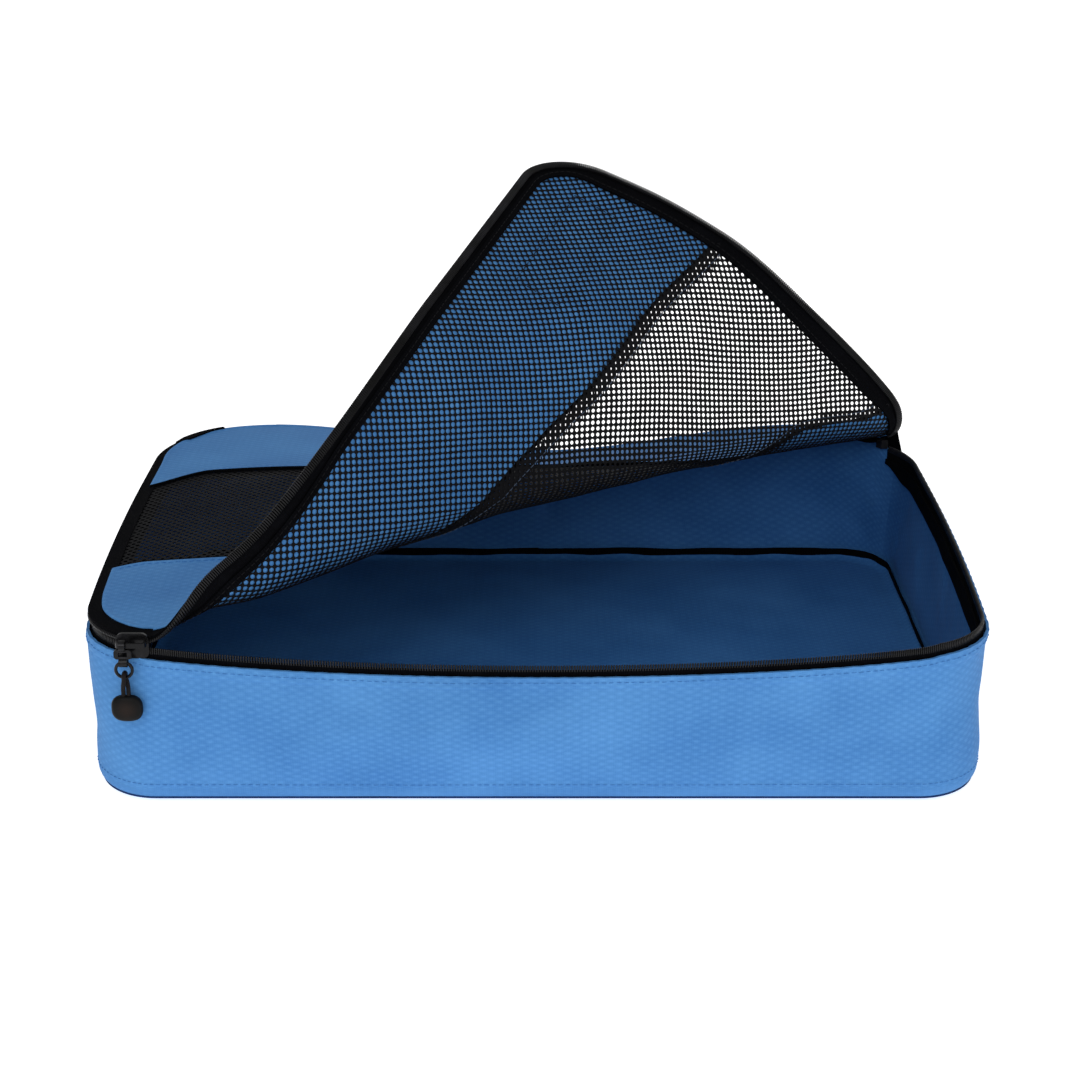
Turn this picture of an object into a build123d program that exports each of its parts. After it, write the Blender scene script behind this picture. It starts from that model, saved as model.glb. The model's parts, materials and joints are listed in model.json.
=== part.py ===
from build123d import *
import os
from math import asin, degrees, hypot, radians, tan

# A soft-sided packing cube with a zipped mesh-topped lid, in millimetres.
# +X runs along the front, +Y runs to the hinge side, +Z is up.
# The origin is the centre of the base's underside.

# Bag
base_width = 445
base_depth = 320
base_corner = 34
rim_width = 457
rim_depth = 324
front_corner = 40
back_corner = 64
fabric = 1.6
base_thickness = 1.4
wall_top = 75
gusset_joint_y = 130

# Zipper. Insets are measured inward from the outer face of the rim.
tape_bottom = 68
coil_size = 2.2
coil_inset = 1.9
coil_gap = 1.2
body_coil_bottom = 82.6
tape_inset = 2.5
tape_thickness = 1.0
zipper_end_y = 135
stop_length = 3.2
stop_gap = 0.3

# Lid
lid_tape_inset = 2
lid_inner_inset = 14
lid_tape_thickness = 1.2
mesh_thickness = 0.8
panel_thickness = 0.8
binding_thickness = 1.4
binding_inset = (11, 15)
front_seam_y = -66
rear_seam_y = 68
seam_width = 8
patch_size = (87, 31)
patch_centre = (150, -116)
patch_thickness = 0.6

# Folds across the lid, each a line in plan from the front edge to the right edge.
roll_line = ((-173, -160), (226, 133))
bend_line = ((-25, -160), (226, 5))
roll_angle = 104
bend_angle = 44
roll_radius = 22
bend_radius = 110
roll_gap = 2.0
bend_gap = 1.5

# Slider and pull
slider_x = -191
slider_length = 14
plate_thickness = 1.2
channel = (-160.45, -156.3)
outer_plate_height = 13
inner_plate_height = 7.8
post_size = (2.6, 0.7)
bridge_y = -166.5
bridge_z = 88.2
bridge_thickness = 1.2
bridge_height = 2.4
bridge_length = 14.4
tab_x = -195.5
eye_outer = 2.7
eye_inner = 1.6
eye_width = 3
tab_width = 8.4
tab_thickness = 1.8
tab_window = (4.2, 2.2)
barrel_z = 79.6
barrel_outer = 2.3
barrel_inner = 1.5
barrel_length = 4
ring_radius = 3.9
ring_wire = 0.8
cord_diameter = 2.2
cord_loop = 2.1
knob_top = 62.5
knob_size = (15, 13.5, 7)
knob_corner = 5.6
cord_grip = 5

coil_inner_inset = coil_inset + coil_size
body_coil_top = body_coil_bottom + coil_size
lid_coil_bottom = body_coil_top + coil_gap
lid_tape_bottom = lid_coil_bottom + coil_size
panel_bottom = lid_tape_bottom + mesh_thickness
patch_bottom = panel_bottom + panel_thickness
slider_z = (body_coil_top + lid_coil_bottom) / 2
far = 600


def rim_face(inset, mode=Mode.ADD):
    """The rim's outline in plan, drawn inward by inset, with tighter corners in front."""
    x = rim_width / 2 - inset
    y = rim_depth / 2 - inset
    front = front_corner - inset
    back = back_corner - inset
    with BuildLine() as outline:
        FilletPolyline((-x, -y), (x, -y), (x, y), (-x, y), radius=(front, front, back, back), close=True)
    make_face(outline.edges(), mode=mode)


def rim_ring(outer, inner):
    """A band that follows the rim, between two insets."""
    rim_face(outer)
    rim_face(inner, mode=Mode.SUBTRACT)


def keep_between(low_y, high_y):
    """Keeps the part of the sketch between two values of Y."""
    with Locations((0, (low_y + high_y) / 2)):
        Rectangle(far, high_y - low_y, mode=Mode.INTERSECT)


def finish(solid, node):
    """Names a piece and writes it."""
    solid.part.label = node
    export_step(solid.part, f"parts/{node}.step")


def direction(line):
    """The unit direction of a fold line."""
    (x0, y0), (x1, y1) = line
    length = hypot(x1 - x0, y1 - y0)
    return ((x1 - x0) / length, (y1 - y0) / length)


def pivot_rise(radius, angle):
    """How far above the lid the pivot lies that stands for a bend of this radius."""
    half = radians(angle) / 2
    return radius * (1 - half / tan(half))


def side_of(line, start, stop):
    """Keeps the band of the sketch from start to stop, measured from the line to its front right side."""
    along = direction(line)
    across = (along[1], -along[0])
    corners = [
        (line[0][0] + along[0] * a + across[0] * b, line[0][1] + along[1] * a + across[1] * b)
        for a, b in ((-far, start), (far * 2, start), (far * 2, stop), (-far, stop))
    ]
    with BuildLine() as outline:
        Polyline(*corners, close=True)
    make_face(outline.edges(), mode=Mode.INTERSECT)


def carried(plane, pivot, along, angle):
    """The plane turned about an axis through pivot. A positive angle lifts the front right side."""
    back = Location(-Vector(*pivot))
    turn = Location(Vector(*pivot), Vector(*along), -angle)
    return Plane(turn * back * plane.location)


os.makedirs("parts", exist_ok=True)

# Bag body

with BuildPart() as base_panel:
    with BuildSketch():
        RectangleRounded(base_width, base_depth, base_corner)
    extrude(amount=base_thickness)
finish(base_panel, "base_panel")

for node, low_y, high_y in (("gusset_strip", -far, gusset_joint_y), ("back_gusset", gusset_joint_y, far)):
    with BuildPart() as wall:
        for inset, mode in ((0, Mode.ADD), (fabric, Mode.SUBTRACT)):
            with BuildSketch(Plane.XY.offset(base_thickness)) as bottom:
                RectangleRounded(base_width - 2 * inset, base_depth - 2 * inset, base_corner - inset)
            with BuildSketch(Plane.XY.offset(wall_top)) as top:
                rim_face(inset)
            loft(sections=[bottom.sketch, top.sketch], mode=mode)
        with Locations((0, (low_y + high_y) / 2, 0)):
            Box(far, high_y - low_y, far, mode=Mode.INTERSECT)
    finish(wall, node)

with BuildPart() as base_seam_binding:
    with BuildSketch(Plane.XY.offset(base_thickness)):
        seam_inset = fabric + 0.8
        RectangleRounded(base_width - 2 * seam_inset, base_depth - 2 * seam_inset, base_corner - seam_inset)
        offset(amount=-fabric, mode=Mode.SUBTRACT)
    extrude(amount=4)
finish(base_seam_binding, "base_seam_binding")

with BuildPart() as body_zipper_tape:
    with BuildSketch(Plane.XY.offset(tape_bottom)):
        rim_ring(tape_inset, tape_inset + tape_thickness)
        keep_between(-far, zipper_end_y)
    extrude(amount=body_coil_bottom - tape_bottom)
finish(body_zipper_tape, "body_zipper_tape")

with BuildPart() as body_zipper_coil:
    with BuildSketch(Plane.XY.offset(body_coil_bottom)):
        rim_ring(coil_inset, coil_inner_inset)
        keep_between(-far, zipper_end_y)
    extrude(amount=coil_size)
finish(body_zipper_coil, "body_zipper_coil")

with BuildPart() as rim_binding:
    with BuildSketch(Plane.XY.offset(tape_bottom - 2)):
        rim_ring(tape_inset + tape_thickness, tape_inset + tape_thickness + 1.5)
        keep_between(-far, zipper_end_y)
    extrude(amount=6)
finish(rim_binding, "rim_binding")

with BuildPart() as zipper_stops:
    with BuildSketch(Plane.XY.offset(body_coil_bottom)):
        rim_ring(coil_inset - 0.5, coil_inner_inset + 0.5)
        keep_between(zipper_end_y + stop_gap, zipper_end_y + stop_gap + stop_length)
    extrude(amount=lid_tape_bottom - body_coil_bottom)
finish(zipper_stops, "zipper_stops")

with BuildPart() as zipper_end_tabs:
    with BuildSketch(Plane.XY.offset(wall_top + 1)):
        rim_ring(-3, coil_inset - 0.6)
        keep_between(zipper_end_y - 4, zipper_end_y)
    extrude(amount=body_coil_top - wall_top)
finish(zipper_end_tabs, "zipper_end_tabs")

hinge_start_y = zipper_end_y + 2 * stop_gap + stop_length
with BuildPart() as hinge_binding:
    with BuildSketch(Plane.XY.offset(wall_top)):
        rim_ring(0, coil_inner_inset / 2)
        keep_between(hinge_start_y, far)
    extrude(amount=lid_tape_bottom - wall_top)
    with BuildSketch(Plane.XY.offset(lid_tape_bottom)):
        rim_ring(0, lid_inner_inset)
        keep_between(hinge_start_y, far)
    extrude(amount=lid_tape_thickness)
finish(hinge_binding, "hinge_binding")

# Lid: the same layers in three lengths, laid out closed and then carried to the folded-back pose

roll_pivot = (*roll_line[0], panel_bottom + pivot_rise(roll_radius, roll_angle))
bend_pivot = (*bend_line[0], panel_bottom + pivot_rise(bend_radius, bend_angle))
still_plane = Plane.XY
fold_plane = carried(Plane.XY, roll_pivot, (*direction(roll_line), 0), roll_angle)
flap_plane = carried(
    carried(Plane.XY, bend_pivot, (*direction(bend_line), 0), bend_angle),
    roll_pivot,
    (*direction(roll_line), 0),
    roll_angle,
)


def still_region():
    side_of(roll_line, -far, -roll_gap)


def fold_region():
    side_of(roll_line, roll_gap, far)
    side_of(bend_line, -far, -bend_gap)


def flap_region():
    side_of(bend_line, bend_gap, far)


def mesh_shape():
    rim_face(lid_inner_inset)


def front_panel_shape():
    rim_face(lid_inner_inset)
    keep_between(-far, front_seam_y)


def rear_panel_shape():
    rim_face(lid_inner_inset)
    keep_between(rear_seam_y, far)


def front_seam_shape():
    rim_face(binding_inset[1])
    keep_between(front_seam_y - seam_width / 2, front_seam_y + seam_width / 2)


def rear_seam_shape():
    rim_face(binding_inset[1])
    keep_between(rear_seam_y - seam_width / 2, rear_seam_y + seam_width / 2)


def zipper_tape_shape():
    rim_ring(lid_tape_inset, lid_inner_inset)
    keep_between(-far, zipper_end_y)


def zipper_coil_shape():
    rim_ring(coil_inset, coil_inner_inset)
    keep_between(-far, zipper_end_y)


def edge_binding_shape():
    rim_ring(*binding_inset)
    keep_between(-far, zipper_end_y)


segments = (
    ("still", still_plane, still_region),
    ("fold", fold_plane, fold_region),
    ("flap", flap_plane, flap_region),
)
layers = (
    ("mesh", mesh_shape, lid_tape_bottom, mesh_thickness),
    ("front_panel", front_panel_shape, panel_bottom, panel_thickness),
    ("rear_panel", rear_panel_shape, panel_bottom, panel_thickness),
    ("front_seam", front_seam_shape, lid_tape_bottom - mesh_thickness, mesh_thickness),
    ("rear_seam", rear_seam_shape, lid_tape_bottom - mesh_thickness, mesh_thickness),
    ("zipper_tape", zipper_tape_shape, lid_tape_bottom, lid_tape_thickness),
    ("zipper_coil", zipper_coil_shape, lid_coil_bottom, coil_size),
    ("edge_binding", edge_binding_shape, lid_tape_bottom - binding_thickness, binding_thickness),
)
not_on_flap = ("rear_panel", "rear_seam")

for segment, plane, region in segments:
    for layer, shape, bottom_z, thickness in layers:
        if segment == "flap" and layer in not_on_flap:
            continue
        with BuildPart() as lid_piece:
            with BuildSketch(plane.offset(bottom_z)):
                shape()
                region()
            extrude(amount=thickness)
        finish(lid_piece, f"lid_{layer}_{segment}")

with BuildPart() as label_patch:
    with BuildSketch(flap_plane.offset(patch_bottom)):
        with Locations(patch_centre):
            RectangleRounded(*patch_size, 3)
    extrude(amount=patch_thickness)
finish(label_patch, "label_patch")

# Slider: a post joins two plates, and both coils pass between them

with BuildPart() as slider_body:
    with BuildSketch(Plane.XZ.offset(-channel[0])):
        with Locations((slider_x - 0.8, slider_z + 0.5)):
            RectangleRounded(slider_length + 1.6, outer_plate_height, 3.5)
    extrude(amount=plate_thickness)
    with BuildSketch(Plane.XZ.offset(-channel[1])):
        with Locations((slider_x, lid_tape_bottom - 0.35 - inner_plate_height / 2)):
            RectangleRounded(slider_length, inner_plate_height, 2.5)
    extrude(amount=-plate_thickness)
    post_x = slider_x + slider_length / 2 - 1 - post_size[0] / 2
    with Locations((post_x, (channel[0] + channel[1]) / 2, slider_z)):
        Box(post_size[0], channel[1] - channel[0], post_size[1])
finish(slider_body, "slider_body")

plate_face_y = channel[0] - plate_thickness
bridge_centre_x = slider_x - 0.8
with BuildPart() as slider_bridge:
    with BuildSketch(Plane.XY.offset(bridge_z - bridge_height / 2)):
        half = bridge_length / 2
        outer_y = bridge_y - bridge_thickness / 2
        inner_y = bridge_y + bridge_thickness / 2
        with BuildLine():
            FilletPolyline(
                (bridge_centre_x - half, plate_face_y),
                (bridge_centre_x - half, outer_y),
                (bridge_centre_x + half, outer_y),
                (bridge_centre_x + half, plate_face_y),
                radius=2,
            )
            Line((bridge_centre_x + half, plate_face_y), (bridge_centre_x + half - 1.2, plate_face_y))
            FilletPolyline(
                (bridge_centre_x + half - 1.2, plate_face_y),
                (bridge_centre_x + half - 1.2, inner_y),
                (bridge_centre_x - half + 1.2, inner_y),
                (bridge_centre_x - half + 1.2, plate_face_y),
                radius=0.8,
            )
            Line((bridge_centre_x - half + 1.2, plate_face_y), (bridge_centre_x - half, plate_face_y))
        make_face()
    extrude(amount=bridge_height)
finish(slider_bridge, "slider_bridge")

# Pull: tab, ring, doubled cord and knob

tab_top = bridge_z - eye_inner - 0.3
tab_bottom = barrel_z + barrel_inner + 0.4
with BuildPart() as pull_tab:
    with BuildSketch(Plane.YZ.offset(tab_x - eye_width / 2)):
        with Locations((bridge_y, bridge_z)):
            Circle(eye_outer)
            Circle(eye_inner, mode=Mode.SUBTRACT)
    extrude(amount=eye_width)
    with BuildSketch(Plane.XZ.offset(-bridge_y - tab_thickness / 2)):
        with Locations((tab_x, (tab_top + tab_bottom) / 2)):
            RectangleRounded(tab_width, tab_top - tab_bottom, 1.5)
            Rectangle(*tab_window, mode=Mode.SUBTRACT)
    extrude(amount=tab_thickness)
    with BuildSketch(Plane.YZ.offset(tab_x - barrel_length / 2)):
        with Locations((bridge_y, barrel_z)):
            Circle(barrel_outer)
    extrude(amount=barrel_length)
    for z, radius in ((bridge_z, eye_inner), (barrel_z, barrel_inner)):
        with BuildSketch(Plane.YZ.offset(tab_x - tab_width / 2)):
            with Locations((bridge_y, z)):
                Circle(radius)
        extrude(amount=tab_width, mode=Mode.SUBTRACT)
finish(pull_tab, "pull_tab")

ring_z = barrel_z - ring_radius
with BuildPart() as pull_ring:
    with BuildSketch(Plane.XY.offset(ring_z)):
        with Locations((tab_x + ring_radius, bridge_y)):
            Circle(ring_wire)
    revolve(axis=Axis((tab_x, bridge_y, ring_z), (0, 1, 0)))
finish(pull_ring, "pull_ring")

wire_z = ring_z - ring_radius
cord_points = (
    (tab_x - 1.2, bridge_y, knob_top - cord_grip),
    (tab_x - 1.2, bridge_y, knob_top + 0.5),
    (tab_x - 0.9, bridge_y - 1.5, wire_z - 4.5),
    (tab_x, bridge_y - cord_loop, wire_z - 1),
    (tab_x, bridge_y - cord_loop, wire_z + cord_loop),
    (tab_x, bridge_y + cord_loop, wire_z + cord_loop),
    (tab_x, bridge_y + cord_loop, wire_z - 1),
    (tab_x + 0.9, bridge_y + 1.5, wire_z - 4.5),
    (tab_x + 1.2, bridge_y, knob_top + 0.5),
    (tab_x + 1.2, bridge_y, knob_top - cord_grip),
)
cord_radii = (4, 4, 4, cord_loop - 0.01, cord_loop - 0.01, 4, 4, 4)
with BuildPart() as pull_cord:
    with BuildLine() as cord_path:
        FilletPolyline(*cord_points, radius=cord_radii)
    with BuildSketch(Plane(origin=cord_points[0], z_dir=(0, 0, 1))):
        Circle(cord_diameter / 2)
    sweep(path=cord_path.wires()[0])
finish(pull_cord, "pull_cord")
cord_length = cord_path.wires()[0].length
print("pull cord: length", round(cord_length, 1), "radii", cord_radii, "diameter", cord_diameter)

with BuildPart() as pull_knob:
    with BuildSketch(Plane.XZ.offset(-bridge_y - knob_size[2] / 2)):
        with Locations((tab_x, knob_top - knob_size[1] / 2)):
            RectangleRounded(knob_size[0], knob_size[1], knob_corner)
    extrude(amount=knob_size[2])
    fillet(pull_knob.edges().filter_by(Plane.XZ), 2.4)
finish(pull_knob, "pull_knob")
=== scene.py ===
import json
import math

import bmesh
import bpy
import numpy as np
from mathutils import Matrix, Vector


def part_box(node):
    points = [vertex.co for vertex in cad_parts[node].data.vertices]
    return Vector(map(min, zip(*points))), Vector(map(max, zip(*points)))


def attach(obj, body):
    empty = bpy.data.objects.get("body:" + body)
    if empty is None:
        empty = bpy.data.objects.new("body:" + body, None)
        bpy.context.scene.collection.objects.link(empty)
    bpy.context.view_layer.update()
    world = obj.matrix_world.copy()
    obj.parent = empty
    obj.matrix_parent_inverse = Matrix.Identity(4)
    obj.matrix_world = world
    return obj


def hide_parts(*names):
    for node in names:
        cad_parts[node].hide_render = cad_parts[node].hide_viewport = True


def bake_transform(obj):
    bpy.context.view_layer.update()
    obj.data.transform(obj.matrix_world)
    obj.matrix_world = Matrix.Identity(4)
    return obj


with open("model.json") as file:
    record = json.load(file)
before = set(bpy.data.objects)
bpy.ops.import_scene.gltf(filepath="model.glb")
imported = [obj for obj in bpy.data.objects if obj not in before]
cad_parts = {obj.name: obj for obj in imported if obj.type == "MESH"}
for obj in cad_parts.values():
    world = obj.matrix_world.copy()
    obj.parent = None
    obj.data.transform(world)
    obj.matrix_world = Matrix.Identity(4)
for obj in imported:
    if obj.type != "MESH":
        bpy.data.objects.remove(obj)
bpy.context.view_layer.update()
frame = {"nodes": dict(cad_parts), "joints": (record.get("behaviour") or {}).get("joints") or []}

# A soft packing cube with a zipped mesh lid, folded half open. Shapes are worked out in millimetres
# in the frame's axes and written to Blender in metres.

MM = 0.001


def node_box(node):
    """A CAD node's lowest and highest corner, in millimetres."""
    low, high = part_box(node)
    return np.array(low) / MM, np.array(high) / MM


# ---- sizes

rim_low, rim_high = node_box("gusset_strip")
base_high = node_box("base_panel")[1]
HALF_X = rim_high[0]
HALF_Y = -rim_low[1]
BASE_X = base_high[0]
BASE_Y = base_high[1]
FRONT_CORNER = 40
BACK_CORNER = 64
BASE_CORNER = 34
WALL_SLOPE_TOP = rim_high[2]
FABRIC = 1.4
BOTTOM_RADIUS = 9
LID_LEVEL = node_box("lid_mesh_still")[1][2]
COIL_LINE = 83.7
ZIP_END_Y = 135
JOINT_Y = 130
FRONT_SEAM_Y = -66
REAR_SEAM_Y = 68
BAND_INSET = 14
LEFT_TURN = 5
FRONT_TURN = 3.5
TAPE_END = 6
FRONT_TAPER = 10
BASE_TAPER = 0.2
FLAP_TAPER = 0.72
DOME = 12.2
FRONT_SAG = 11.1
FRONT_SAG_REACH = 192
BACK_SAG = 17
BACK_SAG_REACH = 165
TOOTH_PITCH = 1.25
DOUBLING_WIDTH = 9
EDGING_WIDTH = 2.2
NET_PITCH = 3.4
NET_THICKNESS = 0.25
PATCH_CENTRE = (150, -116)
PATCH_SIZE = (87, 31)
DIAMOND_PITCH = 3.86
DIAMOND_SLANT = 28
STITCH = 2.6
STITCH_GAP = 1.0
SLIVER = 0.04
THREAD = 0.55
BOTTOM_TURN = 0.5
LEAST_SHARE = 0.301
FLOOR_REACH = 40000
WINDOW_HOLE = 0.335
SETTLING_ROUNDS = 4
PANEL_UNDER_TAPE = 2.7
TURNED_EDGE = 0.55
WALL_HEIGHT = 76
TAPE_WIDTH = 12

# ---- outline of the bag in plan


def outline_tables(half_x, half_y, front, back):
    """Corner centres and radii along an outline, from the back."""
    side = np.array([0, -1, -1, -1, -1, 1, 1, 1, 1, 0])
    at_front = np.array([0, 0, 0, 1, 1, 1, 1, 0, 0, 0], bool)
    radius = np.where(at_front, front, back).astype(float)
    return side * (half_x - radius), np.where(at_front, radius - half_y, half_y - radius), radius


RIM = outline_tables(HALF_X, HALF_Y, FRONT_CORNER, BACK_CORNER)
BASE = outline_tables(BASE_X, BASE_Y, BASE_CORNER, BASE_CORNER)
TURNS = np.radians([90, 90, 180, 180, 270, 270, 360, 360, 450, 450])
STEPS = np.arange(10)
STRAIGHT = np.hypot(np.diff(RIM[0]), np.diff(RIM[1]))
LENGTHS = STRAIGHT + np.diff(TURNS) * RIM[2][:-1]
MARKS = np.concatenate([[0], np.cumsum(LENGTHS)])
ROUND = MARKS[-1]


def ease(t):
    """Goes smoothly from 0 to 1."""
    t = np.clip(t, 0, 1)
    return t * t * (3 - 2 * t)


def bell(t):
    """Falls smoothly from 1 at 0 on both sides."""
    return np.exp(-(t**2))


def taper(x, y):
    """How far the soft sides are drawn in towards the front."""
    return FRONT_TAPER * ease((np.abs(x) - 150) / 70) * np.clip((60 - y) / 220, 0, 1) ** 2


def outline(u, inset=0, tables=RIM):
    """Points in plan at u along the rim, and the outward direction there."""
    step = np.interp(np.mod(u, ROUND), MARKS, STEPS)
    turn = np.interp(step, STEPS, TURNS)
    outward = np.stack([np.cos(turn), np.sin(turn)], -1)
    reach = np.interp(step, STEPS, tables[2]) - inset
    x = np.interp(step, STEPS, tables[0]) + reach * outward[..., 0]
    y = np.interp(step, STEPS, tables[1]) + reach * outward[..., 1]
    share = BASE_TAPER if tables is BASE else 1
    return np.stack([x - share * np.sign(x) * taper(x, y), y], -1), outward


def left_u(y):
    """How far along the rim the back left corner reaches Y."""
    return MARKS[2] - math.asin((y - (HALF_Y - BACK_CORNER)) / BACK_CORNER) * BACK_CORNER


ZIP_START = left_u(ZIP_END_Y)
ZIP_END = ROUND - ZIP_START
JOINT_U = left_u(JOINT_Y)


def half_width(y, inset):
    """Half the width at Y of the rim's outline, drawn inward."""
    width = HALF_X - inset
    ends = (BACK_CORNER, y - HALF_Y + BACK_CORNER), (FRONT_CORNER, FRONT_CORNER - HALF_Y - y)
    for corner, past in ends:
        radius = corner - inset
        width = width - radius + np.sqrt(radius**2 - np.clip(past, 0, radius) ** 2)
    return width - taper(width, y)


def depth_inside(xy):
    """How far inside the rim's outline points in plan are."""
    corner = np.where(xy[:, 1] > 0, BACK_CORNER, FRONT_CORNER)
    qx = np.abs(xy[:, 0]) + taper(xy[:, 0], xy[:, 1]) - (HALF_X - corner)
    qy = np.abs(xy[:, 1]) - (HALF_Y - corner)
    outside = np.hypot(np.maximum(qx, 0), np.maximum(qy, 0)) + np.minimum(np.maximum(qx, qy), 0)
    return corner - outside


def noise(x, y, seed):
    """Smooth noise from -1 to 1, the same on every run."""
    column = np.floor(x)
    row = np.floor(y)
    fx = ease(x - column)
    fy = ease(y - row)

    def corner(a, b):
        value = np.sin(a * 127.1 + b * 311.7 + seed * 74.7) * 43758.5453
        return 2 * (value - np.floor(value)) - 1

    low = corner(column, row) * (1 - fx) + corner(column + 1, row) * fx
    high = corner(column, row + 1) * (1 - fx) + corner(column + 1, row + 1) * fx
    return low * (1 - fy) + high * fy


def tape_reach(x, y):
    """The width of tape that shows, less on the left and at its ends."""
    width = BAND_INSET - LEFT_TURN * ease((-x - 150) / 50) * ease((y + 155) / 50)
    width = width - FRONT_TURN * ease((x + 100) / 60) * ease((-y - 120) / 30)
    return TAPE_END + (width - TAPE_END) * ease((ZIP_END_Y + 8 - y) / 62)


def front_seam_y(x):
    """Where the front seam runs at X."""
    forward = 4 * ease((-120 - x) / 60) + 9 * ease((-200 - x) / 30)
    return FRONT_SEAM_Y - forward + 8 * ease((x + 20) / 120) + 11 * ease((x - 140) / 90)


def rear_seam_y(x):
    """Where the rear seam runs at X."""
    return REAR_SEAM_Y - 22 * ease((-188 - x) / 42) + 36 * ease((x - 160) / 58)


# ---- the lid's rest shape


def joint(name):
    """A joint's pivot in millimetres, its axis, and its upper limit in radians."""
    found = next(j for j in frame["joints"] if j["name"] == name)
    pivot = np.array(found["pos_m"], float) / MM
    axis = np.array(found["axis"], float)
    return pivot, axis / np.linalg.norm(axis), math.radians(found["range_deg"][1])


def turned(vector, axis, angle):
    """A vector turned about an axis through the origin."""
    along = axis * (vector @ axis)
    side = np.cross(axis, vector)
    return along + (vector - along) * math.cos(angle) + side * math.sin(angle)


ROLL_PIVOT, ROLL_AXIS, ROLL_ANGLE = joint("lid_roll")
BEND_PIVOT, BEND_AXIS, BEND_ANGLE = joint("lid_bend")
FLAT_BEND_PIVOT = ROLL_PIVOT + turned(BEND_PIVOT - ROLL_PIVOT, ROLL_AXIS, ROLL_ANGLE)
FLAT_BEND_AXIS = turned(BEND_AXIS, ROLL_AXIS, ROLL_ANGLE)
ROLL_RADIUS = 22
TIGHT_ROLL_RADIUS = 9
ROLL_OPENS_OVER = 90
FLAP_BOW = 9.5
FLAP_BULGE = 3.5
EDGE_LIFT = 9
BEND_RADIUS = 110


def curled(points, pivot, along, radius, angle):
    """Bends what lies in front of a line in plan round an arc."""
    across = np.array([along[1], -along[0]])
    offset = points[:, :2] - pivot[:2]
    s = offset @ across
    t = offset @ along[:2]
    reach = radius * angle / 2
    a = s + reach
    phi = np.clip(a / radius, 0, angle)
    beyond = np.maximum(a - radius * angle, 0)
    h = points[:, 2]
    ahead = np.minimum(a, 0) - reach + radius * np.sin(phi) + beyond * np.cos(phi) - h * np.sin(phi)
    height = radius * (1 - np.cos(phi)) + beyond * np.sin(phi) + h * np.cos(phi)
    plan = pivot[:2] + t[:, None] * along[:2] + ahead[:, None] * across
    return np.column_stack([plan, height])


def beyond_roll(xy):
    """How far in front of the roll line points in plan are."""
    across = np.array([ROLL_AXIS[1], -ROLL_AXIS[0]])
    return (xy - ROLL_PIVOT[:2]) @ across


def roll_share(xy):
    """0 on the still part of the lid and 1 on what is folded back."""
    return ease((beyond_roll(xy) + 50) / 50)


def back_sag(x):
    """How far the back edge has sunk at X."""
    return np.where(np.abs(x) < BACK_SAG_REACH, BACK_SAG * np.cos(x * math.pi / 2 / BACK_SAG_REACH) ** 2, 0)


def front_sag(x):
    """How far the body's front edge has sunk at X."""
    return FRONT_SAG * np.maximum(1 - (x / FRONT_SAG_REACH) ** 2, 0) ** 0.8


def lid_place(xy, h, crown=DOME):
    """Where points of the flat lid come to lie, at a height h over it."""
    x = xy[:, 0]
    y = xy[:, 1]
    rise = np.maximum(1 - np.abs(x / 226) ** 2.5, 0) * np.maximum(1 - np.abs(y / 160) ** 2.5, 0)
    ripple = 0.8 * noise(x / 46, y / 34, 3) + 0.35 * noise(x / 19, y / 17, 4)
    flatter = 1 - 0.35 * ease((-60 - x) / 60)
    wave = 2.3 * noise(x / 58 + y / 90, y / 71 + 3, 8) + 0.9 * noise(x / 27, y / 33, 9)
    loose = ease((beyond_roll(xy) - 15) / 70) * (0.12 + 0.88 * rise)
    relief = (crown * flatter + ripple * np.sign(crown)) * rise + wave * loose * np.sign(crown)
    bow = FLAP_BOW * bell((y - 12) / 58) - FLAP_BULGE * bell((y + 88) / 42)
    drawn_in = (bow - (1 - FLAP_TAPER) * taper(x, y)) * ease((x - 90) / 130) * np.sign(crown)
    points = np.column_stack([x - drawn_in, y, h + relief])
    points = curled(points, FLAT_BEND_PIVOT, FLAT_BEND_AXIS, BEND_RADIUS, BEND_ANGLE)
    t = (points[:, :2] - ROLL_PIVOT[:2]) @ ROLL_AXIS[:2]
    radius = TIGHT_ROLL_RADIUS + (ROLL_RADIUS - TIGHT_ROLL_RADIUS) * ease(t / ROLL_OPENS_OVER)
    points = curled(points, ROLL_PIVOT, ROLL_AXIS, radius, ROLL_ANGLE)
    lift = EDGE_LIFT * bell((x + 154) / 28) * ease((x + 190) / 25) * ease((-y - 112) / 50)
    points[:, 2] += LID_LEVEL + lift - back_sag(x) * ease((y - 20) / 142) * (1 - roll_share(xy))
    return points


def lid_line(pivot, along, radius, angle, side):
    """The middle of a fold line, moved to one end of its arc, at rest."""
    across = np.array([along[1], -along[0]])
    middle = np.array(pivot[:2]) + 180 * np.array(along[:2]) + side * radius * angle / 2 * across
    return lid_place(middle[None], np.zeros(1), crown=0)[0]


ROLL_ENDS = [lid_line(ROLL_PIVOT, ROLL_AXIS, ROLL_RADIUS, ROLL_ANGLE, side) for side in (-0.5, 1)]
BEND_ENDS = [lid_line(FLAT_BEND_PIVOT, FLAT_BEND_AXIS, BEND_RADIUS, BEND_ANGLE, side) for side in (-1, 1)]
SPLIT_FRONT = np.array([-117, -HALF_Y])
SPLIT_RIGHT = np.array([HALF_X, 82])


def on_flap_side(xy):
    """True in front of the middle line of the folded strip."""
    along = SPLIT_RIGHT - SPLIT_FRONT
    offset = xy - SPLIT_FRONT
    return offset[:, 0] * along[1] - offset[:, 1] * along[0] > 0


# ---- mesh tools


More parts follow.
